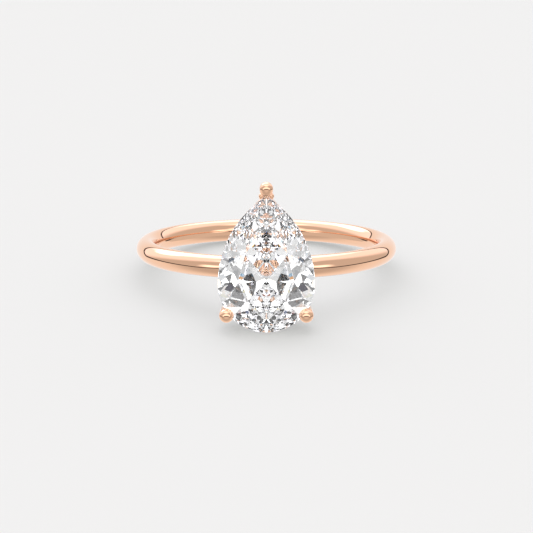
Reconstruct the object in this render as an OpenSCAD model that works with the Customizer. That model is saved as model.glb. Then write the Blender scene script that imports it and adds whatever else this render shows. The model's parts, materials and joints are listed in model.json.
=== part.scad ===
// Solitaire engagement ring: a round-wire shank, a pegged three-claw head
// and a pear-cut stone. The ring lies as it does when it is put down on a
// table: on the back of its shank and on the round end of its stone.
// Z is up from the table, the stone faces -Y and its tip points up.
// The origin is the centre of the finger bore.

/* [Shank] */
// Inside diameter of the shank, which is the ring size
bore_d = 16.5; // [14:0.1:21]
// Diameter of the round wire that the shank is bent from
wire_d = 1.62; // [1.56:0.02:1.8]
// Radial thickness of the shank, once its inside is filed flat
wire_t = 1.48; // [1.4:0.02:1.52]

/* [Stone] */
// Length of the pear, from its round end to its tip
stone_l = 9.8; // [9.2:0.1:10.4]
// Width of the pear
stone_w = 6.9; // [6.6:0.1:7.2]
// Distance from the shank's middle plane down to the middle of the round end
stone_drop = 0.45; // [0.3:0.05:0.6]
// Height of the crown above the girdle
crown_h = 1; // [0.8:0.05:1.2]
// Depth of the pavilion below the girdle
pavilion_h = 2.95; // [2.8:0.05:3.1]
// Thickness of the girdle
girdle_t = 0.24; // [0.22:0.02:0.3]
// Width of the table as a share of the stone's width
table_share = 0.58; // [0.52:0.02:0.64]
// Gap between the culet and the outside of the shank
culet_gap = 0.52; // [0.48:0.02:0.7]

/* [Claws] */
// Diameter of the bead that ends each lower claw
bead_d = 1.04; // [1:0.02:1.08]
// Diameter of the rounded end of the drop that ends the tip claw
drop_d = 0.96; // [0.94:0.02:1]
// Diameter of the lower claws' wire at the girdle
claw_d = 0.96; // [0.9:0.02:0.98]
// Diameter of the tip claw's wire at the girdle
tip_claw_d = 0.64; // [0.6:0.02:0.7]
// Diameter of the claw wire at its foot
foot_d = 0.72; // [0.66:0.02:0.76]
// Angle of each lower bead below the widest line of the stone
claw_angle = 37.5; // [34:0.5:41]

/* [Rails] */
// Diameter of the wire of both rails
rail_d = 0.6; // [0.56:0.02:0.62]
// Depth of the gallery rail below the girdle's middle
gallery_drop = 1.4; // [1.35:0.05:1.45]
// Radius of the base rail, from its middle to the centre of its wire
base_r = 1.06; // [1.02:0.02:1.1]

/* [Hidden] */
$fn = 96;

// Shank: the bore, the outside and the ring that the wire's centre follows
bore_r = bore_d / 2;
outer_r = bore_r + wire_t;
wire_r = wire_d / 2;
hoop_r = outer_r - wire_r;

// Stone: half width, tip distance and the radius of the two flanks
half_w = stone_w / 2;
reach = stone_l - half_w;
flank_r = (half_w * half_w + reach * reach) / (2 * half_w);
flank_turn = asin(reach / flank_r);
stone_z = outer_r + culet_gap + pavilion_h + girdle_t / 2;

// Facets: eight mains, a pair of halves to each, and a curved girdle
MAINS = 8;
HALVES = 2 * MAINS;
FINE = 4;
RIM = HALVES * FINE;
star_share = 0.55;
half_share = 0.78;
apex_h = crown_h / (1 - table_share);
crown_mid = [0, 0.8];
culet_mid = [0, 0.2];

// Head: the peg's pin, its collar and the two rails
pin_r = 0.4;
pin_end = bore_r + 0.35;
collar_r = 1.2;
collar_low = outer_r - 0.6;
collar_top = outer_r + 0.28;
rail_r = rail_d / 2;
base_z = outer_r + 0.47;
gallery_z = stone_z - gallery_drop;
gallery_w = half_w - 0.65;
gallery_reach = reach - 0.45;
gallery_flank = (gallery_w * gallery_w + gallery_reach * gallery_reach) / (2 * gallery_w);
gallery_turn = asin(gallery_reach / gallery_flank);

// Claws: where each bead, elbow and foot stands
tip_y = reach - stone_drop;
bead_z = stone_z + 0.45;
bead_out = half_w + 0.13;
side_elbow_z = stone_z - 1.5;
tip_elbow_z = stone_z - 1.1;
tip_elbow_y = tip_y + 0.35;
drop_y = tip_y + 0.57;
point_y = tip_y - 0.17;
point_z = stone_z + 0.2;
point_r = 0.1;
shoulder_x = 0.3;
shoulder_y = tip_y - 0.08;
shoulder_z = stone_z - 0.34;
shoulder_r = 0.25;
link_r = 0.21;
link_y = tip_elbow_y + 0.15;
taper = 0.94;
swell = 0.04;

// Lean: the ring rests on the back of its shank and on the stone's round end
rest_y = half_w + stone_drop;
rest_z = stone_z - girdle_t / 2;
span = norm([rest_y, rest_z + hoop_r]);
lean = atan(rest_y / (rest_z + hoop_r)) - asin(wire_r / span);

// Lays the upright ring down, head end raised
module lying() {
    rotate([-lean, 0, 0]) children();
}

// Turns the head's own frame to the front of the shank
module on_head() {
    rotate([90, 0, 0]) children();
}

// A rod or cone between two points
module rod(from, to, r_from, r_to) {
    step = to - from;
    translate(from) rotate([0, acos(step.z / norm(step)), atan2(step.y, step.x)])
        cylinder(h = norm(step), r1 = r_from, r2 = r_to);
}

// The rounded joint of a bend or an end, a touch wider than the rods it joins
module knuckle(at, r) {
    translate(at) sphere(r = r * (1 + swell));
}

// An arc of round wire about the Z axis
module wire_arc(radius, turn) {
    rotate_extrude(angle = turn) translate([radius, 0]) circle(r = rail_r);
}

// Point of the pear outline; t runs from 0 at the round end to 8 at the tip
function right_edge(t) = t <= 4
    ? half_w * [sin(22.5 * t), -cos(22.5 * t)]
    : [half_w - flank_r, 0] + flank_r * flank_way(t);
function flank_way(t) = [cos(flank_turn * (t - 4) / 4), sin(flank_turn * (t - 4) / 4)];
function mirrored(p) = [-p.x, p.y];
function edge(t) = t <= MAINS ? right_edge(t) : mirrored(right_edge(HALVES - t));

// Outward direction of the outline
function right_way(t) = t <= 4 ? [sin(22.5 * t), -cos(22.5 * t)] : t < MAINS ? flank_way(t) : [0, 1];
function way(t) = t <= MAINS ? right_way(t) : mirrored(right_way(HALVES - t));

// Where the tangents of main j and of the next main cross
function crossing(j) =
    let (a = way(2 * j), b = way((2 * j + 2) % HALVES),
         p = a * edge(2 * j), q = b * edge((2 * j + 2) % HALVES),
         area = a.x * b.y - a.y * b.x)
    [p * b.y - q * a.y, q * a.x - p * b.x] / area;

// A point at level z, a share of the way from flat point p to the apex above mid
function towards(p, mid, share, z) = let (f = p + (mid - p) * share) [f.x, f.y, z];

// Height at outline point t of the half facet k that hangs from the point top
function rim_height(t, k, top, z) =
    let (a = edge(k), b = edge((k + 1) % HALVES), p = edge(t),
         n = cross([b.x - a.x, b.y - a.y, 0], [top.x - a.x, top.y - a.y, top.z - z]))
    z - (n.x * (p.x - a.x) + n.y * (p.y - a.y)) / n.z;

// Corners of the table, of the stars and of the pavilion's halves
table_pts = [for (j = [0 : MAINS - 1]) towards(edge(2 * j), crown_mid, 1 - table_share,
    girdle_t / 2 + crown_h)];
star_pts = [for (j = [0 : MAINS - 1]) towards(crossing(j), crown_mid,
    star_share * crown_h / apex_h, girdle_t / 2 + star_share * crown_h)];
half_pts = [for (j = [0 : MAINS - 1]) towards(crossing(j), culet_mid, half_share,
    -girdle_t / 2 - half_share * pavilion_h)];

// Upper and lower edge of the girdle, scalloped by the half facets
upper_rim = [for (i = [0 : RIM - 1]) let (k = floor(i / FINE), p = edge(i / FINE))
    [p.x, p.y, rim_height(i / FINE, k, star_pts[floor(k / 2)], girdle_t / 2)]];
lower_rim = [for (i = [0 : RIM - 1]) let (k = floor(i / FINE), p = edge(i / FINE))
    [p.x, p.y, rim_height(i / FINE, k, half_pts[floor(k / 2)], -girdle_t / 2)]];
culet = [[culet_mid.x, culet_mid.y, -girdle_t / 2 - pavilion_h]];

// Where each row of points starts in the stone's point list
STARS = MAINS;
UPPER = 2 * MAINS;
LOWER = UPPER + RIM;
POINTS = LOWER + RIM;
CULET = POINTS + MAINS;
function next(j) = (j + 1) % MAINS;
function last(j) = (j + MAINS - 1) % MAINS;
function flipped(f) = [for (i = [len(f) - 1 : -1 : 0]) f[i]];

crown_faces = concat(
    [[for (j = [0 : MAINS - 1]) j]],
    [for (j = [0 : MAINS - 1]) [j, STARS + j, next(j)]],
    [for (j = [0 : MAINS - 1]) [j, STARS + last(j), UPPER + 2 * FINE * j, STARS + j]],
    [for (k = [0 : HALVES - 1]) concat([STARS + floor(k / 2)],
        [for (i = [0 : FINE]) UPPER + (k * FINE + i) % RIM])]);
girdle_faces = [for (i = [0 : RIM - 1])
    [UPPER + i, LOWER + i, LOWER + (i + 1) % RIM, UPPER + (i + 1) % RIM]];
pavilion_faces = concat(
    [for (j = [0 : MAINS - 1]) [CULET, POINTS + last(j), LOWER + 2 * FINE * j, POINTS + j]],
    [for (k = [0 : HALVES - 1]) concat([POINTS + floor(k / 2)],
        [for (i = [0 : FINE]) LOWER + (k * FINE + i) % RIM])]);
stone_faces = concat([for (f = concat(crown_faces, girdle_faces)) flipped(f)], pavilion_faces);

// The stone in the head's frame
module stone_shape() {
    translate([0, -stone_drop, stone_z])
        polyhedron(concat(table_pts, star_pts, upper_rim, lower_rim, half_pts, culet), stone_faces);
}

// The bent round wire with its inside filed flat
module hoop() {
    difference() {
        rotate_extrude() translate([hoop_r, 0]) circle(r = wire_r);
        cylinder(h = 2 * wire_d, r = bore_r, center = true);
    }
}

// The peg's pin, which fills its hole in the shank
module pin() {
    translate([0, 0, pin_end]) cylinder(h = outer_r - pin_end, r = pin_r);
}

// Ring of wire that the claws' feet stand on
module base_ring() {
    translate([0, 0, base_z]) wire_arc(base_r, 360);
}

// Pear of wire, inside the claws and under the girdle
module gallery_ring() {
    translate([0, -stone_drop, gallery_z]) {
        rotate([0, 0, 180]) wire_arc(gallery_w, 180);
        for (side = [0, 1]) mirror([side, 0, 0])
            translate([gallery_w - gallery_flank, 0, 0]) wire_arc(gallery_flank, gallery_turn);
    }
}

// What a claw is filed away for: the stone and the two rails
module claw_cuts() {
    stone_shape();
    gallery_ring();
    base_ring();
}

// Lower stem that all three claws share: from its foot on the base rail to its elbow
module leg(foot, elbow, elbow_r) {
    rod(foot, elbow, foot_d / 2, elbow_r);
    knuckle(elbow, elbow_r);
}

// Claw at the tip: a drop over the point and a short bar across under the point
module tip_stem() {
    elbow = [0, tip_elbow_y, tip_elbow_z];
    drop = [0, drop_y, bead_z];
    point = [0, point_y, point_z];
    bar = [shoulder_x, shoulder_y, shoulder_z];
    leg([0, base_r, base_z], elbow, tip_claw_d / 2);
    rod(elbow, drop, tip_claw_d / 2, tip_claw_d / 2);
    translate(drop) sphere(r = drop_d / 2);
    rod(drop, point, taper * drop_d / 2, point_r);
    knuckle(point, point_r);
    rod([-bar.x, bar.y, bar.z], bar, shoulder_r, shoulder_r);
    for (side = [-1, 1]) knuckle([side * bar.x, bar.y, bar.z], shoulder_r);
    rod([0, bar.y, bar.z], [0, link_y, bar.z], link_r, link_r);
}

// Lower claw on the side that the sign gives: a round bead on a straight neck
module side_stem(side) {
    bead = [side * bead_out * cos(claw_angle), -stone_drop - bead_out * sin(claw_angle)];
    foot = base_r * bead / norm(bead);
    elbow = [bead.x, bead.y, side_elbow_z];
    leg([foot.x, foot.y, base_z], elbow, claw_d / 2);
    rod(elbow, [bead.x, bead.y, bead_z], claw_d / 2, claw_d / 2);
    translate([bead.x, bead.y, bead_z]) sphere(r = bead_d / 2);
}

// Sub-parts

module shank() {
    color("#e3b193") lying() difference() {
        hoop();
        on_head() pin();
    }
}

module head_peg() {
    color("#d9a584") lying() union() {
        on_head() pin();
        difference() {
            on_head() difference() {
                translate([0, 0, collar_low]) cylinder(h = collar_top - collar_low, r = collar_r);
                base_ring();
            }
            rotate_extrude() translate([hoop_r, 0]) circle(r = wire_r);
        }
    }
}

module base_rail() {
    color("#d9a584") lying() on_head() base_ring();
}

module gallery_rail() {
    color("#e0ad8e") lying() on_head() gallery_ring();
}

module tip_claw() {
    color("#eabf9f") lying() on_head() difference() {
        tip_stem();
        claw_cuts();
    }
}

module left_claw() {
    color("#eabf9f") lying() on_head() difference() {
        side_stem(-1);
        claw_cuts();
    }
}

module right_claw() {
    color("#eabf9f") lying() on_head() difference() {
        side_stem(1);
        claw_cuts();
    }
}

module pear_stone() {
    color("#eef3f7") lying() on_head() stone_shape();
}

shank();
head_peg();
base_rail();
gallery_rail();
tip_claw();
left_claw();
right_claw();
pear_stone();
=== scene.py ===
"""Looks for a pear-cut solitaire ring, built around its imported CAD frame."""

import json
import math

import bpy
from bpy.props import FloatProperty, PointerProperty, StringProperty
from mathutils import Matrix, Vector


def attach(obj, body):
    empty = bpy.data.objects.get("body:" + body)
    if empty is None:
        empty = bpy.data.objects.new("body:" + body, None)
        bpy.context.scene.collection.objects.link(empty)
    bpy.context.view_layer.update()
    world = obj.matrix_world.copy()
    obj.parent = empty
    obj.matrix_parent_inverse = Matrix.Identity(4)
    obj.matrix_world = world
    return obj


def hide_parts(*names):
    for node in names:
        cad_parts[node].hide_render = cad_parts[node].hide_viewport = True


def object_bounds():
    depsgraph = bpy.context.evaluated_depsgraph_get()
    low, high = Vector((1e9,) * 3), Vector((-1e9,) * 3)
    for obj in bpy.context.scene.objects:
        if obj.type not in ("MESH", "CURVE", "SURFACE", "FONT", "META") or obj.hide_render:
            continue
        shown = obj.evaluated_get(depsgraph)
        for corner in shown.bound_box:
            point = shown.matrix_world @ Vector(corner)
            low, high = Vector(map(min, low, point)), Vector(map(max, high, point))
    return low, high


bl_info = {
    "name": "Pear Solitaire Ring",
    "version": (1, 0, 0),
    "blender": (4, 5, 0),
    "location": "View3D > Sidebar > Ring",
    "description": "Builds the polished metal, the cut stone and the stage of a solitaire ring",
    "category": "Object",
}

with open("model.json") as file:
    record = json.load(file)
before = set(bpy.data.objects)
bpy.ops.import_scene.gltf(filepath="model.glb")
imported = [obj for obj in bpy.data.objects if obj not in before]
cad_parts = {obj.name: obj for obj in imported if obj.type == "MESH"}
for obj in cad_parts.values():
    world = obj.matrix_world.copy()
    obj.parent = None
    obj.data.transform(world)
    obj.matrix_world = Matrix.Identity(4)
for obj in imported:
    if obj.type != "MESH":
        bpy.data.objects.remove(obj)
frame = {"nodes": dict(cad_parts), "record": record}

MM = 0.001
FULL_TURN = 2 * math.pi
DOUBLE = 0.0005 * MM  # vertices closer than this are one
POLE = 1e-4 * MM  # radius of a swept body's last ring, which closes it
NECK_BEND = 0.8 * MM  # radius of a claw's elbow
FILLET = 0.12 * MM  # rounds off the step from a claw's neck to its bead
CLEARANCE = 0.012 * MM  # between the stone and its seats
SADDLE = 0.6 * MM  # how far the collar's sides reach down round the shank
ROLLED_EDGE = 0.09 * MM  # radius of the collar's upper edge
PIN_SHORT = 0.2 * MM  # how far under the shank's outside the pin ends
PIN_GAP = 0.35 * MM  # from the finger bore to the peg's end
# The stone's cut: thickness of its girdle, height of its crown and depth of its pavilion
GIRDLE_T = 0.24 * MM
CROWN_H = 1 * MM
PAVILION_H = 2.95 * MM
# Width of the table in the crown, and how far the stars and the lower halves reach
TABLE = 0.58
STAR = 0.55
HALF = 0.78
# Where the crown's and the pavilion's cones have their middles, in millimetres towards the tip
CROWN_MID = (0, 0.8)
CULET_MID = (0, 0.2)
# Extra facets by the culet: share of the way between two mains, and depth as a share of the pavilion's
KEEL = ((1, 0.9), (0.5, 0.95), (1.5, 0.95))
RIM = 96  # vertices round the girdle
FIRE = 0.01  # how far apart the red, green and blue edges of the studio's dark parts lie
CAD_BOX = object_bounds()
BORE = next(m for m in frame["record"]["mounts"] if m["name"] == "finger_bore")
BORE_R = BORE["dims"]["r_mm"] * MM
BORE_AXIS = Vector(BORE["axis"]).normalized()
LEAN = math.atan2(BORE_AXIS.y, BORE_AXIS.z)
FLOOR_Z = CAD_BOX[0].z


def linear(hex_colour):
    """An sRGB hex colour as linear red, green, blue and alpha."""
    parts = [int(hex_colour[i:i + 2], 16) / 255 for i in (1, 3, 5)]
    return [c / 12.92 if c <= 0.04045 else ((c + 0.055) / 1.055) ** 2.4 for c in parts] + [1.0]


# ---------------------------------------------------------------- sizes and colours


def length(name, description, millimetres):
    """A length property, given in millimetres and kept in metres."""
    return FloatProperty(name=name, description=description, default=millimetres * MM,
                         unit="LENGTH", precision=5)


class RingSizes(bpy.types.PropertyGroup):
    """Sizes of the metalwork, as the CAD frame has them."""

    wire_d: length("Shank wire", "Diameter of the shank's round wire", 1.62)
    shank_t: length("Shank thickness", "Radial thickness of the filed shank", 1.48)
    peg_d: length("Peg", "Diameter of the peg's pin", 0.8)
    collar_d: length("Collar", "Diameter of the collar that is saddled to the shank", 2.4)
    collar_h: length("Collar height", "How far the collar stands above the shank", 0.28)
    rail_d: length("Rail wire", "Diameter of the wire of both rails", 0.6)
    base_r: length("Base rail", "Radius of the base rail, to the centre of its wire", 1.06)
    base_h: length("Base rail height", "Height of the base rail's wire above the shank", 0.47)
    gallery_drop: length("Gallery drop", "Depth of the gallery rail below the girdle", 1.4)
    gallery_in: length("Gallery inset", "How far the gallery rail stands inside the girdle", 0.65)
    gallery_tip: length("Gallery tip inset", "How far its point stands inside the stone's tip", 0.45)
    claw_d: length("Claw wire", "Diameter of a lower claw at the girdle", 0.96)
    tip_claw_d: length("Tip claw wire", "Diameter of the tip claw at the girdle", 0.64)
    foot_d: length("Claw foot", "Diameter of a claw where it leaves the base rail", 0.72)
    bead_d: length("Bead", "Diameter of the bead on each lower claw", 1.04)
    bead_out: length("Bead offset", "How far a bead's middle stands outside the girdle", 0.13)
    bead_h: length("Bead height", "Height of the beads and the drop above the girdle", 0.45)
    claw_angle: FloatProperty(name="Claw angle", subtype="ANGLE", default=math.radians(37.5),
                              description="Angle of each bead below the stone's widest line")
    elbow_drop: length("Elbow depth", "Depth of a lower claw's elbow below the girdle", 1.5)
    tip_elbow_drop: length("Tip elbow depth", "Depth of the tip claw's elbow below the girdle", 1.1)
    tip_elbow_out: length("Tip elbow offset", "How far that elbow stands beyond the stone's tip", 0.35)
    drop_d: length("Drop", "Width of the drop on the tip claw", 0.96)
    drop_out: length("Drop offset", "How far the drop's middle stands beyond the stone's tip", 0.57)
    point_in: length("Drop's point", "How far its point reaches in over the stone", 0.22)
    point_h: length("Drop's point height", "Height of its point above the girdle", 0.2)
    ear_d: length("Ears", "Diameter of the bar under the stone's tip", 0.5)
    ear_out: length("Ear offset", "Half of the length of the bar between its round ends", 0.3)
    ear_in: length("Ear inset", "How far the bar stands inside the stone's tip", 0.08)
    ear_drop: length("Ear depth", "Depth of the bar below the girdle", 0.34)
    stone_w: length("Stone width", "Width of the pear stone", 6.9)
    stone_l: length("Stone length", "Length of the pear stone", 9.8)
    stone_drop: length("Stone drop", "How far its round end's middle lies below the shank's middle", 0.45)
    stone_h: length("Stone height", "Height of the girdle above the shank", 3.59)


class RingColours(bpy.types.PropertyGroup):
    """Colours of the metal, the stone and the stage, as sRGB hex values."""

    gold: StringProperty(name="Rose gold", description="Polished 18 carat rose gold", default="#F6C6A5")
    stone: StringProperty(name="Stone", description="Body colour of the diamond", default="#FFFFFF")
    floor: StringProperty(name="Floor", description="Light of the table under the ring", default="#F2F2F0")
    card: StringProperty(name="Card", description="Matt card on the glowing table", default="#A2A29E")
    # Painted shade: the fixed grey that the black disc inside the ring glows, which the metal mirrors as the
    # shaded card
    shade: StringProperty(name="Shade", description="The table's light inside the ring", default="#DEDEDD")
    black: StringProperty(name="Black", description="The card where only its glow counts", default="#000000")


class RingStage(bpy.types.PropertyGroup):
    """Camera and studio."""

    lens: FloatProperty(name="Lens", description="Focal length of the camera in millimetres", default=223.0)
    distance: length("Distance", "Camera to the middle of the finger bore", 247.6)
    elevation: FloatProperty(name="Elevation", description="Height of the camera above the floor",
                             default=math.radians(17.5), subtype="ANGLE")
    drop: length("Aim below bore", "How far under the bore's middle the camera aims", 1.4)
    aside: length("Aim beside bore", "How far to the right of it the camera aims", 0.01)
    floor_r: length("Floor", "Radius of the floor", 400)
    # The painted shade: a glowing disc inside the ring that only the metal mirrors
    shade_in: length("Shade inset", "How far the shade inside the ring keeps clear of the shank", 1)
    shade_h: length("Shade height", "Height of the shade over the floor", 0.02)


# ---------------------------------------------------------------- modelling helpers


def fresh(mode_object=None):
    """Leaves edit mode and selects nothing, or only the given object."""
    if bpy.context.mode != "OBJECT":
        bpy.ops.object.mode_set(mode="OBJECT")
    bpy.ops.object.select_all(action="DESELECT")
    if mode_object is not None:
        mode_object.select_set(True)
        bpy.context.view_layer.objects.active = mode_object


def edit(piece):
    """Enters edit mode on one piece with nothing of its mesh selected."""
    fresh(piece)
    bpy.ops.object.mode_set(mode="EDIT")
    bpy.ops.mesh.select_all(action="DESELECT")


def pick(piece, wanted):
    """Selects the vertices whose place passes the test; edit mode is kept."""
    bpy.ops.object.mode_set(mode="OBJECT")
    for v in piece.data.vertices:
        v.select = wanted(v.co)
    for e in piece.data.edges:
        e.select = all(piece.data.vertices[i].select for i in e.vertices)
    for f in piece.data.polygons:
        f.select = all(piece.data.vertices[i].select for i in f.vertices)
    bpy.ops.object.mode_set(mode="EDIT")


def close_up(piece, angle=math.radians(35)):
    """Merges doubles, turns faces outwards and shades the piece smooth by angle."""
    edit(piece)
    bpy.ops.mesh.select_all(action="SELECT")
    bpy.ops.mesh.remove_doubles(threshold=DOUBLE)
    bpy.ops.mesh.normals_make_consistent(inside=False)
    fresh(piece)
    bpy.ops.object.shade_smooth_by_angle(angle=angle)


def carve(piece, cutter, keep_cutter=False, operation="DIFFERENCE"):
    """Applies one boolean modifier and throws the cutter away."""
    fresh(piece)
    mod = piece.modifiers.new("carve", "BOOLEAN")
    mod.operation = operation
    mod.solver = "EXACT"
    mod.object = cutter
    bpy.ops.object.modifier_apply(modifier=mod.name)
    if not keep_cutter:
        bpy.data.objects.remove(cutter)


def settle(piece, transform):
    """Bakes a transform into the mesh, so that the object stays at the origin."""
    fresh(piece)
    piece.matrix_world = transform @ piece.matrix_world
    bpy.ops.object.transform_apply(location=True, rotation=True, scale=True)


def lying():
    """Turn that lays the upright ring down on the table."""
    return Matrix.Rotation(-LEAN, 4, "X")


def on_head():
    """Turn from the head's own frame, stone axis up, to the front of the laid-down ring."""
    return lying() @ Matrix.Rotation(math.pi / 2, 4, "X")


def hoop(sizes, bore_r, sides=64, steps=288):
    """The shank's hoop, upright; a bore radius of 0 leaves its wire round all over."""
    wire_r = sizes.wire_d / 2
    hoop_r = BORE_R + sizes.shank_t - wire_r
    fresh()
    bpy.ops.mesh.primitive_circle_add(vertices=sides, radius=wire_r, location=(hoop_r, 0, 0),
                                      rotation=(math.pi / 2, 0, 0))
    piece = bpy.context.object
    bpy.ops.object.transform_apply(location=True, rotation=True, scale=True)
    edit(piece)
    pick(piece, lambda co: co.x < hoop_r)
    if bore_r:
        bpy.ops.transform.resize(value=((hoop_r - bore_r) / wire_r, 1, 1), center_override=(hoop_r, 0, 0))
    bpy.ops.mesh.select_all(action="SELECT")
    bpy.ops.mesh.spin(steps=steps, angle=FULL_TURN, center=(0, 0, 0), axis=(0, 0, 1))
    close_up(piece)
    return piece


def rod(radius, low, high, sides=64):
    """A round rod that points out of the front of the upright hoop, between two distances."""
    fresh()
    bpy.ops.mesh.primitive_cylinder_add(vertices=sides, radius=radius, depth=high - low,
                                        location=(0, -(low + high) / 2, 0),
                                        rotation=(math.pi / 2, 0, 0))
    piece = bpy.context.object
    bpy.ops.object.transform_apply(location=True, rotation=True, scale=True)
    return piece


def base_ring(sizes):
    """The ring of wire under the claws' feet, in the head's frame."""
    fresh()
    height = BORE_R + sizes.shank_t + sizes.base_h
    bpy.ops.mesh.primitive_circle_add(vertices=32, radius=sizes.rail_d / 2,
                                      location=(sizes.base_r, 0, height), rotation=(math.pi / 2, 0, 0))
    piece = bpy.context.object
    bpy.ops.object.transform_apply(location=True, rotation=True, scale=True)
    edit(piece)
    bpy.ops.mesh.select_all(action="SELECT")
    bpy.ops.mesh.spin(steps=96, angle=FULL_TURN, center=(0, 0, height), axis=(0, 0, 1))
    close_up(piece)
    return piece


def gallery_ring(sizes):
    """The pear of wire under the girdle: half is spun from its round end to its point, then mirrored."""
    half_w = sizes.stone_w / 2
    height = BORE_R + sizes.shank_t + sizes.stone_h - sizes.gallery_drop
    width = half_w - sizes.gallery_in
    reach = sizes.stone_l - half_w - sizes.gallery_tip
    flank = (width * width + reach * reach) / (2 * width)
    past_point = math.radians(5)
    fresh()
    bpy.ops.mesh.primitive_circle_add(vertices=32, radius=sizes.rail_d / 2,
                                      location=(0, -width, height), rotation=(0, math.pi / 2, 0))
    piece = bpy.context.object
    bpy.ops.object.transform_apply(location=True, rotation=True, scale=True)
    edit(piece)
    bpy.ops.mesh.select_all(action="SELECT")
    bpy.ops.mesh.spin(steps=40, angle=-math.pi / 2, center=(0, 0, height), axis=(0, 0, 1))
    bpy.ops.mesh.spin(steps=56, angle=-math.asin(reach / flank) - past_point,
                      center=(width - flank, 0, height), axis=(0, 0, 1))
    bpy.ops.mesh.select_all(action="SELECT")
    bpy.ops.mesh.bisect(plane_co=(0, 0, 0), plane_no=(1, 0, 0), clear_inner=True)
    fresh(piece)
    mirror = piece.modifiers.new("mirror", "MIRROR")
    mirror.merge_threshold = 0.002 * MM
    bpy.ops.object.modifier_apply(modifier=mirror.name)
    settle(piece, Matrix.Translation((0, -sizes.stone_drop, 0)))
    close_up(piece)
    return piece


def sweep(stations, sides=40):
    """A round body drawn through stations (x, z, tilt, radius) by extruding ring after ring."""
    x, z, tilt, radius = stations[0]
    fresh()
    bpy.ops.mesh.primitive_circle_add(vertices=sides, radius=radius, fill_type="NGON",
                                      location=(x, 0, z), rotation=(0, tilt, 0))
    piece = bpy.context.object
    bpy.ops.object.transform_apply(location=True, rotation=True, scale=True)
    edit(piece)
    bpy.ops.mesh.select_all(action="SELECT")
    for (x0, z0, tilt0, r0), (x, z, tilt, r) in zip(stations, stations[1:]):
        bpy.ops.mesh.extrude_region_move(TRANSFORM_OT_translate={"value": (x - x0, 0, z - z0)})
        bpy.ops.transform.resize(value=(r / r0,) * 3, center_override=(x, 0, z))
        if tilt != tilt0:
            bpy.ops.transform.rotate(value=tilt0 - tilt, orient_axis="Y", orient_type="GLOBAL",
                                     center_override=(x, 0, z))
    close_up(piece)
    return piece


def soft_max(a, b, blend):
    """The larger of two radii, rounded off where they are close."""
    near = max(blend - abs(a - b), 0) / blend
    return max(a, b) + near * near * blend / 4


def claw_stations(sizes, claw_r, foot, elbow, top, end_r, bend_r=NECK_BEND, step=0.07 * MM):
    """Stations from the foot, round the elbow and up into a ball of radius end_r at the top."""
    foot, elbow, top = Vector(foot), Vector(elbow), Vector(top)
    leg, neck = elbow - foot, top - elbow
    tilt_leg, tilt_neck = math.atan2(leg.x, leg.y), math.atan2(neck.x, neck.y)
    tangent = bend_r * math.tan((tilt_leg - tilt_neck) / 2)
    foot_r = sizes.foot_d / 2
    leg_length = leg.length - tangent
    neck_length = neck.length - tangent
    stations = [(foot.x, foot.y, tilt_leg, 0.8 * foot_r)]
    count = math.ceil(leg_length / step)
    for i in range(1, count + 1):
        at = foot + leg.normalized() * leg_length * i / count
        stations.append((at.x, at.y, tilt_leg, foot_r + (claw_r - foot_r) * i / count))
    centre = Vector((at.x - bend_r * math.cos(tilt_leg), at.y + bend_r * math.sin(tilt_leg)))
    for i in range(1, 13):
        tilt = tilt_leg + (tilt_neck - tilt_leg) * i / 12
        stations.append((centre.x + bend_r * math.cos(tilt), centre.y - bend_r * math.sin(tilt),
                         tilt, claw_r))
    start = top - neck.normalized() * neck_length
    along = neck.normalized()
    count = math.ceil(neck_length / step)
    for i in range(1, count + 1):
        left = neck_length * (1 - i / count)
        ball = math.sqrt(max(end_r ** 2 - left ** 2, 0))
        at = start + along * neck_length * i / count
        stations.append((at.x, at.y, tilt_neck, soft_max(claw_r, ball, FILLET) if left else end_r))
    return stations + cap_stations(top, along, tilt_neck, end_r)


def cap_stations(at, along, tilt, radius, steps=12):
    """The round end of a swept body, closed to a pole."""
    turns = [math.pi / 2 * i / steps for i in range(1, steps + 1)]
    return [(at.x + along.x * radius * math.sin(t), at.y + along.y * radius * math.sin(t), tilt,
             max(radius * math.cos(t), POLE)) for t in turns]


def ball_start(at, along, tilt, radius, steps=12):
    """The round start of a swept body, opened from a pole."""
    return list(reversed(cap_stations(at, -along, tilt, radius, steps)))


def teardrop(drop, point, radius):
    """A drop with a round end at one place and a fine point at the other."""
    start, end = Vector((drop.x, drop.z)), Vector((point.x, point.z))
    along = (end - start).normalized()
    tilt = math.atan2(along.x, along.y)
    length = (end - start).length
    stations = ball_start(start, along, tilt, radius)
    for i in range(0, 13):
        share = i / 12
        at = start + along * length * share
        full = math.cos(math.pi / 2 * share ** 1.25)
        stations.append((at.x, at.y, tilt, max(radius * full, POLE)))
    return sweep(stations)


def capsule(middle, half, radius):
    """A rod with round ends, centred on a point of the claw's plane."""
    stations = ball_start(Vector((0, -half.length)), Vector((0, 1)), 0, radius)
    stations.append((0, -half.length, 0, radius))
    stations.append((0, half.length, 0, radius))
    stations += cap_stations(Vector((0, half.length)), Vector((0, 1)), 0, radius)
    piece = sweep(stations)
    turn = Vector((0, 0, 1)).rotation_difference(half).to_matrix().to_4x4()
    settle(piece, Matrix.Translation(middle) @ turn)
    return piece


def outline(sizes, t):
    """A place on the girdle and its way out: t is 0 at the round end, 8 at the tip and 16 all round."""
    if t > 8:
        place, out = outline(sizes, 16 - t)
        return Vector((-place.x, place.y)), Vector((-out.x, out.y))
    half_w = sizes.stone_w / 2
    reach = sizes.stone_l - half_w
    if t <= 4:
        out = Vector((math.sin(math.pi / 8 * t), -math.cos(math.pi / 8 * t)))
        return out * half_w, out
    flank = (half_w ** 2 + reach ** 2) / (2 * half_w)
    turn = math.asin(reach / flank) * (t - 4) / 4
    out = Vector((math.cos(turn), math.sin(turn)))
    place = Vector((half_w - flank, 0)) + out * flank
    return place, Vector((0, 1)) if t == 8 else out


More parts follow.
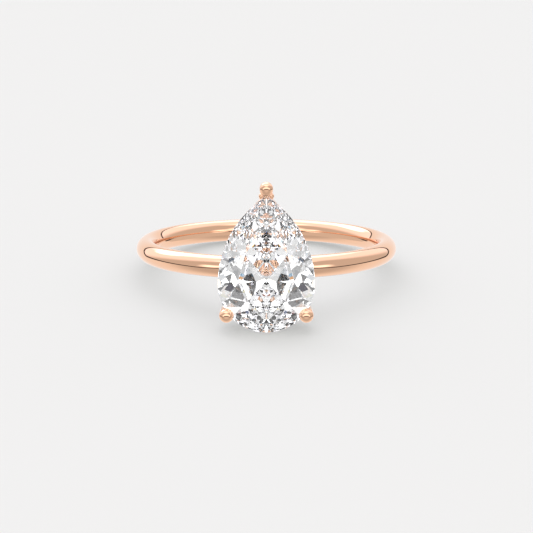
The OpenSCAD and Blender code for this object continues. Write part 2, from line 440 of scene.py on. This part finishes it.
def stone_blank(sizes):
    """A pear-shaped blank, in edit mode: the girdle's outline drawn up to the stone's full depth."""
    fresh()
    bpy.ops.mesh.primitive_circle_add(vertices=RIM, radius=sizes.stone_w / 2, fill_type="NGON")
    blank = bpy.context.object
    for i, vertex in enumerate(blank.data.vertices):
        place = outline(sizes, 16 * i / RIM)[0]
        vertex.co = (place.x, place.y, -PAVILION_H - CROWN_H)
    edit(blank)
    bpy.ops.mesh.select_all(action="SELECT")
    blank_h = PAVILION_H + 3 * CROWN_H
    bpy.ops.mesh.extrude_region_move(TRANSFORM_OT_translate={"value": (0, 0, blank_h)})
    bpy.ops.mesh.select_all(action="SELECT")
    bpy.ops.mesh.normals_make_consistent(inside=False)
    return blank


def facet(sizes, t, level, target):
    """A cut that leaves the girdle at outline place t and level, and passes through the target."""
    place, out = outline(sizes, t)
    start = Vector((place.x, place.y, level))
    along = Vector((-out.y, out.x, 0))
    normal = along.cross(target - start).normalized()
    return start, normal if normal.dot((out.x, out.y, 0)) > 0 else -normal


def crossing(sizes, t, middle, share, base, tip):
    """Where two neighbouring mains meet, a share of the way from the girdle to the tip of their cone."""
    (p, a), (q, b) = outline(sizes, t - 1), outline(sizes, (t + 1) % 16)
    d, e = a.dot(p), b.dot(q)
    area = a.x * b.y - a.y * b.x
    flat = Vector(((d * b.y - e * a.y) / area, (e * a.x - d * b.x) / area))
    flat += (Vector(middle) * MM - flat) * share
    return Vector((flat.x, flat.y, base + (tip - base) * share))


def crown_cuts(sizes):
    """Table, eight mains, eight stars and sixteen upper halves."""
    rim, height = GIRDLE_T / 2, CROWN_H
    peak = height / (1 - TABLE)
    top = Vector((CROWN_MID[0] * MM, CROWN_MID[1] * MM, rim + peak))
    cuts = [((0, 0, rim + height), (0, 0, 1))]
    cuts += [facet(sizes, t, rim, top) for t in range(0, 16, 2)]
    stars = [crossing(sizes, t, CROWN_MID, STAR * height / peak, rim, rim + peak) for t in range(1, 16, 2)]
    for j, star in enumerate(stars):
        cuts += [facet(sizes, 2 * j + side, rim, star) for side in (0.5, 1.5)]
        first, second = [top + (Vector((*outline(sizes, t % 16)[0], rim)) - top) * TABLE
                         for t in (2 * j, 2 * j + 2)]
        normal = (second - first).cross(star - first).normalized()
        cuts.append((star, normal if normal.z > 0 else -normal))
    return cuts


def pavilion_cuts(sizes):
    """Eight mains to the culet, sixteen lower halves and the extra facets of a modified cut."""
    rim = -GIRDLE_T / 2
    culet = Vector((CULET_MID[0] * MM, CULET_MID[1] * MM, rim - PAVILION_H))
    cuts = [facet(sizes, t, rim, culet) for t in range(0, 16, 2)]
    for t in range(1, 16, 2):
        half = crossing(sizes, t, CULET_MID, HALF, rim, culet.z)
        cuts += [facet(sizes, t + side, rim, half) for side in (-0.5, 0.5)]
    for share, drop in KEEL:
        low = culet.copy()
        low.z = rim - PAVILION_H * drop
        cuts += [facet(sizes, t + share, rim, low) for t in range(0, 16, 2)]
    return cuts


def stone_cutter():
    """A copy of the CAD model's stone, merged, and a hair larger so that the stone doesn't bind."""
    copy = frame["nodes"]["pear_stone"].copy()
    copy.data = copy.data.copy()
    copy.parent = None
    bpy.context.scene.collection.objects.link(copy)
    edit(copy)
    bpy.ops.mesh.select_all(action="SELECT")
    bpy.ops.mesh.remove_doubles(threshold=DOUBLE)
    bpy.ops.transform.shrink_fatten(value=CLEARANCE)
    fresh(copy)
    return copy


def seat(claw, sizes):
    """Cuts the stone's bearing and the notches for both rails into a claw in the head's frame."""
    cutter = stone_cutter()
    settle(cutter, on_head().inverted())
    carve(claw, cutter)
    carve(claw, gallery_ring(sizes))
    carve(claw, base_ring(sizes))
    close_up(claw)


def finish_piece(piece, name, node, material):
    """Names a piece, gives it its material and puts it on the frame in its CAD node's place."""
    piece.name = name
    piece.data.name = name
    piece.data.materials.clear()
    piece.data.materials.append(material)
    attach(piece, "root")
    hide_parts(node)
    # Only the stone and the claws that hug it show through the stone, so that it stays white
    piece.visible_transmission = node in ("pear_stone", "left_claw", "right_claw")


# ---------------------------------------------------------------- materials


def add_node(tree, kind, links=(), **settings):
    """Adds a node; settings are its sockets or properties, links are (input, output socket)."""
    node = tree.nodes.new(kind)
    for key, value in settings.items():
        if key in node.inputs:
            node.inputs[key].default_value = value
        else:
            setattr(node, key, value)
    for key, socket in links:
        tree.links.new(socket, node.inputs[key])
    return node


def rose_gold(name="rose_gold_mop_polish", haze=0.07, ripple=0.05):
    """18 carat rose gold, drawn and mop-polished: a mirror that a faint haze and ripples soften."""
    if name in bpy.data.materials:
        return bpy.data.materials[name]
    colours = bpy.context.scene.ring_colours
    material = bpy.data.materials.new(name)
    material.use_nodes = True
    tree = material.node_tree
    shader = tree.nodes["Principled BSDF"]
    shader.inputs["Base Color"].default_value = linear(colours.gold)
    shader.inputs["Metallic"].default_value = 1.0
    place = add_node(tree, "ShaderNodeTexCoord").outputs["Object"]
    # The mop leaves hazy patches about a third of a millimetre across
    patches = add_node(tree, "ShaderNodeTexNoise", [("Vector", place)], Scale=1 / (0.35 * MM), Detail=3.0)
    # Hairlines lie along the wire, 0.04 mm apart, drawn coarser than they are so that they show
    turned = add_node(tree, "ShaderNodeMapping", [("Vector", place)], Scale=(0.08, 0.08, 1.0))
    hairs = add_node(tree, "ShaderNodeTexNoise", [("Vector", turned.outputs["Vector"])],
                     Scale=1 / (0.04 * MM), Detail=2.0)
    blend = add_node(tree, "ShaderNodeMath", [(0, patches.outputs["Fac"]), (1, hairs.outputs["Fac"])],
                     operation="MULTIPLY")
    rough = add_node(tree, "ShaderNodeMapRange", [("Value", blend.outputs["Value"])],
                     **{"From Min": 0.15, "From Max": 0.4, "To Min": 0.025, "To Max": haze})
    # Hand polishing leaves the wire rippled, a millimetre and a half from crest to crest
    waves = add_node(tree, "ShaderNodeTexNoise", [("Vector", place)], Scale=1 / (1.5 * MM), Detail=1.0)
    bump = add_node(tree, "ShaderNodeBump", [("Height", waves.outputs["Fac"])], Strength=ripple,
                    Distance=0.1 * MM)
    tree.links.new(rough.outputs["Result"], shader.inputs["Roughness"])
    tree.links.new(bump.outputs["Normal"], shader.inputs["Normal"])
    return material


def burnished_gold():
    """The same gold, burnished by hand with a steel on beads and rails: brighter, and less even."""
    return rose_gold("rose_gold_burnished", 0.05, 0.09)


def diamond():
    """Cut diamond, laser-flat facets: clear, with the strong reflections of a high index."""
    colours = bpy.context.scene.ring_colours
    material = bpy.data.materials.new("diamond_brilliant_cut")
    material.use_nodes = True
    tree = material.node_tree
    shader = tree.nodes["Principled BSDF"]
    shader.inputs["Base Color"].default_value = linear(colours.stone)
    shader.inputs["Roughness"].default_value = 0.0
    shader.inputs["IOR"].default_value = 2.417
    shader.inputs["Transmission Weight"].default_value = 1.0
    return material


def matt_card(name, colour, glow, strength):
    """Matt card on a light table: pale and even, with soft shadows that its glow thins out; on a black base
    its glow alone is a painted shade.
    """
    material = bpy.data.materials.new(name)
    material.use_nodes = True
    shader = material.node_tree.nodes["Principled BSDF"]
    shader.inputs["Base Color"].default_value = linear(colour)
    shader.inputs["Roughness"].default_value = 1.0
    shader.inputs["Specular IOR Level"].default_value = 0.0
    shader.inputs["Emission Color"].default_value = linear(glow)
    shader.inputs["Emission Strength"].default_value = strength
    return material


def floor_card():
    """The card that the ring lies on."""
    colours = bpy.context.scene.ring_colours
    return matt_card("matt_card_on_light_table", colours.card, colours.floor, 0.5)


def painted_shade_card():
    """Painted shade: a black card glowing a fixed grey, in place of the card where the ring shades it, as the
    inside of the shank mirrors it.
    """
    colours = bpy.context.scene.ring_colours
    return matt_card("matt_card_in_shade", colours.black, colours.shade, 1.0)


# ---------------------------------------------------------------- stage


def follow(tree, values, recipe):
    """Adds a recipe's nodes: each row fades a value between two levels, or does a sum with values."""
    for name, source, *numbers in recipe:
        if len(numbers) == 4:
            levels = dict(zip(("From Min", "From Max", "To Min", "To Max"), numbers))
            node = add_node(tree, "ShaderNodeMapRange", [("Value", values[source])],
                            interpolation_type="SMOOTHSTEP", **levels)
        else:
            node = add_node(tree, "ShaderNodeMath", operation=source)
            for socket, part in zip(node.inputs, numbers):
                if part in values:
                    tree.links.new(values[part], socket)
                else:
                    socket.default_value = part
        values[name] = node.outputs[0]


# Places in the studio: degrees from the back, positive to the right, and degrees above the floor
PLACES = (("back", 0, 0), ("front", 180, 0), ("up", 0, 90), ("viewer", 180, 17.5), ("roof", -12, 45),
          ("lamp", -45, 34))
# Fades: name, place or value, from, to, level before, level after. Sums: name, operation, values
TENT = (
    # The roof is wide and soft, brighter in its middle, with a small lamp at the left
    ("wide", "roof", 0.28, 0.6, 0, 0.65),
    ("bright", "roof", 0.84, 0.94, 0, 1.1),
    ("small", "lamp", 0.965, 0.99, 0, 1.5),
    ("soft", "ADD", "wide", "bright"),
    ("roof_light", "ADD", "soft", "small"),
    # The sweep under the ring is paler towards the back
    ("far_sweep", "back", -0.45, 0.35, 0.62, 1.0),
    ("near_sweep", "front", 0.62, 0.9, 0, 0.2),
    ("sweep", "ADD", "far_sweep", "near_sweep"),
    # Its edge rises at the back and in front, where the dark gap over it is wider too
    ("back_rise", "back", 0.62, 1.02, -0.22, 0.58),
    ("front_rise", "front", 0.45, 1.05, 0, 0.3),
    ("rise", "ADD", "back_rise", "front_rise"),
    ("edge", "SUBTRACT", "up", "rise"),
    ("above", "edge", -0.01, 0.01, 0, 1),
    ("below", "edge", -0.01, 0.01, 1, 0),
    ("narrow", "front", 0.6, 0.85, 1, 0.4),
    # Only the metal mirrors the cards in front: a low one at each side, a tall one and one overhead
    ("over_low", "SUBTRACT", "up", 0.12),
    ("off_low", "ABSOLUTE", "over_low"),
    ("at_low", "off_low", 0.08, 0.25, 1, 0),
    ("sides", "front", 0.42, 0.62, 0, 1.3),
    ("low_cards", "MULTIPLY", "sides", "at_low"),
    ("tall_card", "front", 0.6, 0.76, 0, 0.9),
    ("forward", "front", 0.02, 0.3, 0, 0.9),
    ("high", "up", 0.76, 0.86, 0, 1),
    ("high_card", "MULTIPLY", "forward", "high"),
    ("front_cards", "MAXIMUM", "low_cards", "tall_card"),
    ("metal_cards", "MAXIMUM", "front_cards", "high_card"),
    ("in_metal", "MULTIPLY", "metal_cards", "metal"),
    # Only the stone looks back at the viewer's side, where white cards stand round a dark spot
    ("stone_cards", "viewer", 0.45, 0.88, 0.2, 1.4),
    ("in_stone", "MULTIPLY", "stone_cards", "stone"),
    ("cards", "ADD", "in_metal", "in_stone"),
    ("grey_walls", "ADD", "cards", 0.68),
    ("not_seen", "SUBTRACT", 1.0, "camera"),
)


def tent_colour(colour, shift, tint):
    """The tent in one colour: the stone sees its dark edges shifted, which gives it its fire."""
    return (
        ("tinted_roof", "MULTIPLY", "roof_light", tint),
        ("walls", "ADD", "tinted_roof", "grey_walls"),
        ("upper", "MULTIPLY", "walls", "above"),
        ("lower", "MULTIPLY", "sweep", "below"),
        ("tent", "ADD", "upper", "lower"),
        ("shift", "MULTIPLY", "stone", shift),
        ("shifted_edge", "SUBTRACT", "edge", "shift"),
        ("from_edge", "ABSOLUTE", "shifted_edge"),
        ("widened", "MULTIPLY", "from_edge", "narrow"),
        ("gap", "widened", 0.03, 0.07, 0.05, 1),
        ("spot", "viewer", 0.865 + shift / 8, 0.92 + shift / 8, 0, 0.97),
        ("spot_in_stone", "MULTIPLY", "spot", "stone"),
        ("off_spot", "SUBTRACT", 1.0, "spot_in_stone"),
        ("gapped", "MULTIPLY", "tent", "gap"),
        ("light", "MULTIPLY", "gapped", "off_spot"),
        ("unseen_light", "MULTIPLY", "light", "not_seen"),
        (colour, "ADD", "unseen_light", "backdrop"),
    )


def studio_light():
    """A white tent: pale sweep, dark gap round it, grey walls, bright roof towards the back."""
    world = bpy.data.worlds.new("studio")
    world.use_nodes = True
    tree = world.node_tree
    tree.nodes.clear()
    rays = add_node(tree, "ShaderNodeLightPath").outputs
    values = {"metal": rays["Is Glossy Ray"], "stone": rays["Is Transmission Ray"],
              "camera": rays["Is Camera Ray"]}
    direction = add_node(tree, "ShaderNodeTexCoord").outputs["Generated"]
    for name, azimuth, elevation in PLACES:
        place = Vector((0, 1, 0))
        place.rotate(Matrix.Rotation(math.radians(elevation), 3, "X"))
        place.rotate(Matrix.Rotation(math.radians(-azimuth), 3, "Z"))
        dot = add_node(tree, "ShaderNodeVectorMath", [(0, direction)], operation="DOT_PRODUCT")
        dot.inputs[1].default_value = place
        values[name] = dot.outputs["Value"]
    follow(tree, values, TENT)
    # The camera itself sees a backdrop of the floor's tone, so that the floor has no end
    backdrop = linear(bpy.context.scene.ring_colours.floor)[1]
    follow(tree, values, [("backdrop", "MULTIPLY", "camera", backdrop)])
    for colour, shift, tint in (("Red", -FIRE, 1.0), ("Green", 0.0, 0.97), ("Blue", FIRE, 1.12)):
        follow(tree, values, tent_colour(colour, shift, tint))
    mixed = add_node(tree, "ShaderNodeCombineColor", [(c, values[c]) for c in ("Red", "Green", "Blue")])
    lights = add_node(tree, "ShaderNodeBackground", [("Color", mixed.outputs["Color"])])
    add_node(tree, "ShaderNodeOutputWorld", [("Surface", lights.outputs["Background"])])
    return world


def disc(name, radius, height, material):
    """A flat disc of the stage."""
    fresh()
    bpy.ops.mesh.primitive_circle_add(vertices=96, radius=radius, fill_type="NGON", location=(0, 0, height))
    piece = bpy.context.object
    piece.name = name
    piece.data.materials.append(material)
    return piece


# ---------------------------------------------------------------- operators


class RING_OT_shank(bpy.types.Operator):
    """Bends the round wire to a hoop, files its inside flat and drills it for the peg"""

    bl_idname = "ring.shank"
    bl_label = "Shank"

    def execute(self, context):
        sizes = context.scene.ring_sizes
        piece = hoop(sizes, BORE_R)
        carve(piece, rod(sizes.peg_d / 2, BORE_R + PIN_GAP, BORE_R + 2 * sizes.wire_d))
        close_up(piece)
        settle(piece, lying())
        finish_piece(piece, "shank_wire", "shank", rose_gold())
        return {"FINISHED"}


class RING_OT_head_peg(bpy.types.Operator):
    """Turns the collar, saddles it to the shank and stands it on its pin"""

    bl_idname = "ring.head_peg"
    bl_label = "Head peg"

    def execute(self, context):
        sizes = context.scene.ring_sizes
        outside = BORE_R + sizes.shank_t
        top = outside + sizes.collar_h
        collar = rod(sizes.collar_d / 2, outside - SADDLE, top, sides=96)
        edit(collar)
        bpy.ops.mesh.select_mode(type="EDGE")
        pick(collar, lambda co: co.y < -top + 0.01 * MM)
        bpy.ops.mesh.bevel(offset=ROLLED_EDGE, segments=4, affect="EDGES")
        bpy.ops.mesh.select_mode(type="VERT")
        carve(collar, hoop(sizes, 0))
        rail = base_ring(sizes)
        settle(rail, lying().inverted() @ on_head())
        carve(collar, rail)
        carve(collar, rod(sizes.peg_d / 2, BORE_R + PIN_GAP, outside - PIN_SHORT), operation="UNION")
        close_up(collar)
        settle(collar, lying())
        finish_piece(collar, "peg_collar", "head_peg", burnished_gold())
        return {"FINISHED"}


class RING_OT_base_rail(bpy.types.Operator):
    """Bends the small ring that the claws' feet stand on"""

    bl_idname = "ring.base_rail"
    bl_label = "Base rail"

    def execute(self, context):
        sizes = context.scene.ring_sizes
        piece = base_ring(sizes)
        settle(piece, on_head())
        finish_piece(piece, "base_ring", "base_rail", burnished_gold())
        return {"FINISHED"}


class RING_OT_gallery_rail(bpy.types.Operator):
    """Bends the pear of wire that ties the claws together under the girdle"""

    bl_idname = "ring.gallery_rail"
    bl_label = "Gallery rail"

    def execute(self, context):
        piece = gallery_ring(context.scene.ring_sizes)
        settle(piece, on_head())
        finish_piece(piece, "gallery_wire", "gallery_rail", burnished_gold())
        return {"FINISHED"}


class RING_OT_side_claws(bpy.types.Operator):
    """Draws the two lower claws from their feet to their beads and cuts their seats"""

    bl_idname = "ring.side_claws"
    bl_label = "Side claws"

    def execute(self, context):
        sizes = context.scene.ring_sizes
        girdle = BORE_R + sizes.shank_t + sizes.stone_h
        foot = (sizes.base_r, BORE_R + sizes.shank_t + sizes.base_h)
        out = sizes.stone_w / 2 + sizes.bead_out
        for side, name in ((-1, "left"), (1, "right")):
            bead = Vector((side * out * math.cos(sizes.claw_angle),
                           -sizes.stone_drop - out * math.sin(sizes.claw_angle), 0))
            reach = bead.length
            elbow = (reach, girdle - sizes.elbow_drop)
            top = (reach, girdle + sizes.bead_h)
            stem = sweep(claw_stations(sizes, sizes.claw_d / 2, foot, elbow, top, sizes.bead_d / 2))
            settle(stem, Matrix.Rotation(math.atan2(bead.y, bead.x), 4, "Z"))
            seat(stem, sizes)
            settle(stem, on_head())
            finish_piece(stem, name + "_bead_claw", name + "_claw", burnished_gold())
        return {"FINISHED"}


class RING_OT_tip_claw(bpy.types.Operator):
    """Draws the tip claw, its drop over the stone's point and its two ears"""

    bl_idname = "ring.tip_claw"
    bl_label = "Tip claw"

    def execute(self, context):
        sizes = context.scene.ring_sizes
        girdle = BORE_R + sizes.shank_t + sizes.stone_h
        tip = sizes.stone_l - sizes.stone_w / 2 - sizes.stone_drop
        foot = (sizes.base_r, BORE_R + sizes.shank_t + sizes.base_h)
        elbow = (tip + sizes.tip_elbow_out, girdle - sizes.tip_elbow_drop)
        drop = Vector((tip + sizes.drop_out, 0, girdle + sizes.bead_h))
        point = Vector((tip - sizes.point_in, 0, girdle + sizes.point_h))
        claw_r = sizes.tip_claw_d / 2
        stem = sweep(claw_stations(sizes, claw_r, foot, elbow, (drop.x, drop.z), claw_r))
        carve(stem, teardrop(drop, point, sizes.drop_d / 2), operation="UNION")
        bar = Vector((tip - sizes.ear_in, 0, girdle - sizes.ear_drop))
        carve(stem, capsule(bar, Vector((0, sizes.ear_out, 0)), sizes.ear_d / 2), operation="UNION")
        # A thinner link ties the bar to the leg behind it
        link = Vector((sizes.ear_d / 2, 0, 0))
        carve(stem, capsule(bar + link, link, 0.42 * sizes.ear_d), operation="UNION")
        settle(stem, Matrix.Rotation(math.pi / 2, 4, "Z"))
        seat(stem, sizes)
        settle(stem, on_head())
        finish_piece(stem, "drop_claw", "tip_claw", burnished_gold())
        return {"FINISHED"}


class RING_OT_stone(bpy.types.Operator):
    """Cuts the pear stone facet by facet from a blank with the girdle's outline"""

    bl_idname = "ring.stone"
    bl_label = "Stone"

    def execute(self, context):
        sizes = context.scene.ring_sizes
        stone = stone_blank(sizes)
        for point, normal in crown_cuts(sizes) + pavilion_cuts(sizes):
            bpy.ops.mesh.select_all(action="SELECT")
            bpy.ops.mesh.bisect(plane_co=point, plane_no=normal, use_fill=True, clear_outer=True,
                                threshold=1e-4 * MM)
        bpy.ops.mesh.select_all(action="SELECT")
        bpy.ops.mesh.normals_make_consistent(inside=False)
        fresh(stone)
        girdle = BORE_R + sizes.shank_t + sizes.stone_h
        settle(stone, on_head() @ Matrix.Translation((0, -sizes.stone_drop, girdle)))
        finish_piece(stone, "cut_stone", "pear_stone", diamond())
        return {"FINISHED"}


class RING_OT_stage(bpy.types.Operator):
    """Lays the floor, lights the studio and sets up the camera"""

    bl_idname = "ring.stage"
    bl_label = "Stage"

    def execute(self, context):
        scene = context.scene
        stage = scene.ring_stage
        floor = disc("floor", stage.floor_r, FLOOR_Z, floor_card())
        floor.visible_glossy = False
        floor.visible_transmission = False
        # Painted shade: a glowing disc that only the metal mirrors, in place of the card inside the ring in
        # the ring's shade
        shade = disc("painted_shade_inside_the_ring", BORE_R - stage.shade_in, FLOOR_Z + stage.shade_h, painted_shade_card())
        shade.visible_camera = False
        shade.visible_diffuse = False
        shade.visible_shadow = False
        shade.visible_transmission = False

        scene.world = studio_light()

        scene.view_settings.view_transform = "Standard"
        # Light turns many times inside the stone before it leaves
        scene.cycles.max_bounces = 64
        scene.cycles.transmission_bounces = 64
        scene.cycles.glossy_bounces = 16
        scene.cycles.caustics_reflective = False

        data = bpy.data.cameras.new("camera")
        data.lens = stage.lens
        data.clip_start = 1 * MM
        data.clip_end = 10
        camera = bpy.data.objects.new("camera", data)
        scene.collection.objects.link(camera)
        camera.rotation_euler = (math.pi / 2 - stage.elevation, 0, 0)
        turn = camera.rotation_euler.to_matrix()
        camera.location = turn @ Vector((stage.aside, -stage.drop, stage.distance))
        scene.camera = camera
        return {"FINISHED"}


class RING_PT_panel(bpy.types.Panel):
    """Lists the ring's operators, sizes, colours and stage settings"""

    bl_idname = "RING_PT_panel"
    bl_label = "Pear solitaire ring"
    bl_space_type = "VIEW_3D"
    bl_region_type = "UI"
    bl_category = "Ring"

    def draw(self, context):
        for operator in OPERATORS:
            self.layout.operator(operator.bl_idname)
        for name, group in GROUPS:
            for prop in group.__annotations__:
                self.layout.prop(getattr(context.scene, name), prop)


OPERATORS = (RING_OT_shank, RING_OT_head_peg, RING_OT_base_rail, RING_OT_gallery_rail,
             RING_OT_side_claws, RING_OT_tip_claw, RING_OT_stone, RING_OT_stage)
GROUPS = (("ring_sizes", RingSizes), ("ring_colours", RingColours), ("ring_stage", RingStage))


def register():
    """Registers the property groups, the operators and the panel."""
    for name, group in GROUPS:
        bpy.utils.register_class(group)
        setattr(bpy.types.Scene, name, PointerProperty(type=group))
    for cls in (*OPERATORS, RING_PT_panel):
        bpy.utils.register_class(cls)


def unregister():
    """Takes them away again."""
    for cls in (RING_PT_panel, *reversed(OPERATORS)):
        bpy.utils.unregister_class(cls)
    for name, group in reversed(GROUPS):
        delattr(bpy.types.Scene, name)
        bpy.utils.unregister_class(group)


def main():
    register()
    for operator in OPERATORS:
        getattr(bpy.ops.ring, operator.bl_idname.split(".")[1])()


if __name__ == "__main__":
    main()
